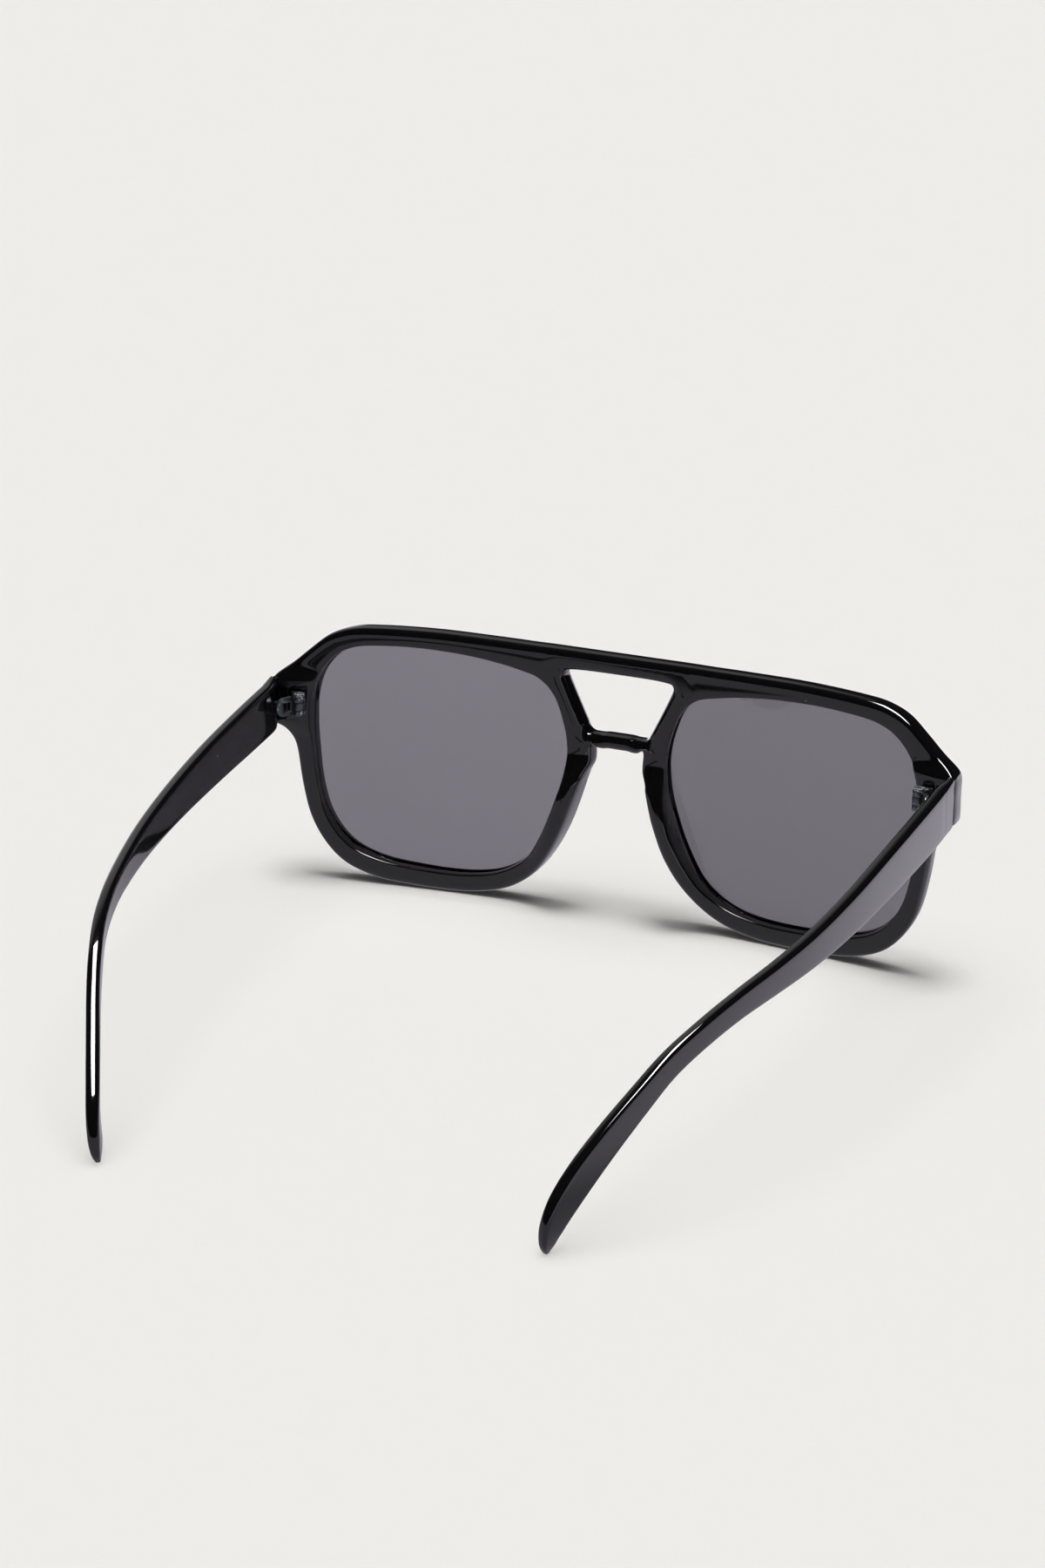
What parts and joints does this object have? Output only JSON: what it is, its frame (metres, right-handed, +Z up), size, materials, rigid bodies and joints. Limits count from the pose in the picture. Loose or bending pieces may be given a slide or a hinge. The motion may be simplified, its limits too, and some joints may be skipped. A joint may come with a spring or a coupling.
{
  "type": "sunglasses",
  "caption": "Moulded double-bridge sunglasses with squared tinted lenses and temples that fold on barrel hinges.",
  "frame": {"origin": "on the floor, at the centre of the open glasses", "axes": "+Z up, +X to the wearer's left, -Y out of the front of the lenses, +Y along the open temples"},
  "size_m": [0.1462, 0.1451, 0.0555],
  "materials": {
    "frame_black": "polished gloss black",
    "lens_tint": "polished grey tint, see-through",
    "hinge_metal": "dark satin steel",
    "screw_metal": "turned steel"
  },
  "bodies": {
    "front": {"front_frame": "frame_black", "lens_left": "lens_tint", "lens_right": "lens_tint", "front_hinge_left": "hinge_metal", "front_hinge_right": "hinge_metal", "hinge_screw_left": "screw_metal", "hinge_screw_right": "screw_metal"},
    "left_temple": {"temple_left": "frame_black", "temple_hinge_left": "hinge_metal"},
    "right_temple": {"temple_right": "frame_black", "temple_hinge_right": "hinge_metal"}
  },
  "joints": [
    {"name": "left_temple_fold", "type": "hinge", "parent": "front", "child": "left_temple", "pos_m": [0.0662, -0.05799, 0.03874], "axis": [0, -0.0349, 0.9994], "range_deg": [0, 80]},
    {"name": "right_temple_fold", "type": "hinge", "parent": "front", "child": "right_temple", "pos_m": [-0.0662, -0.05799, 0.03874], "axis": [0, 0.0349, -0.9994], "range_deg": [0, 70]}
  ]
}
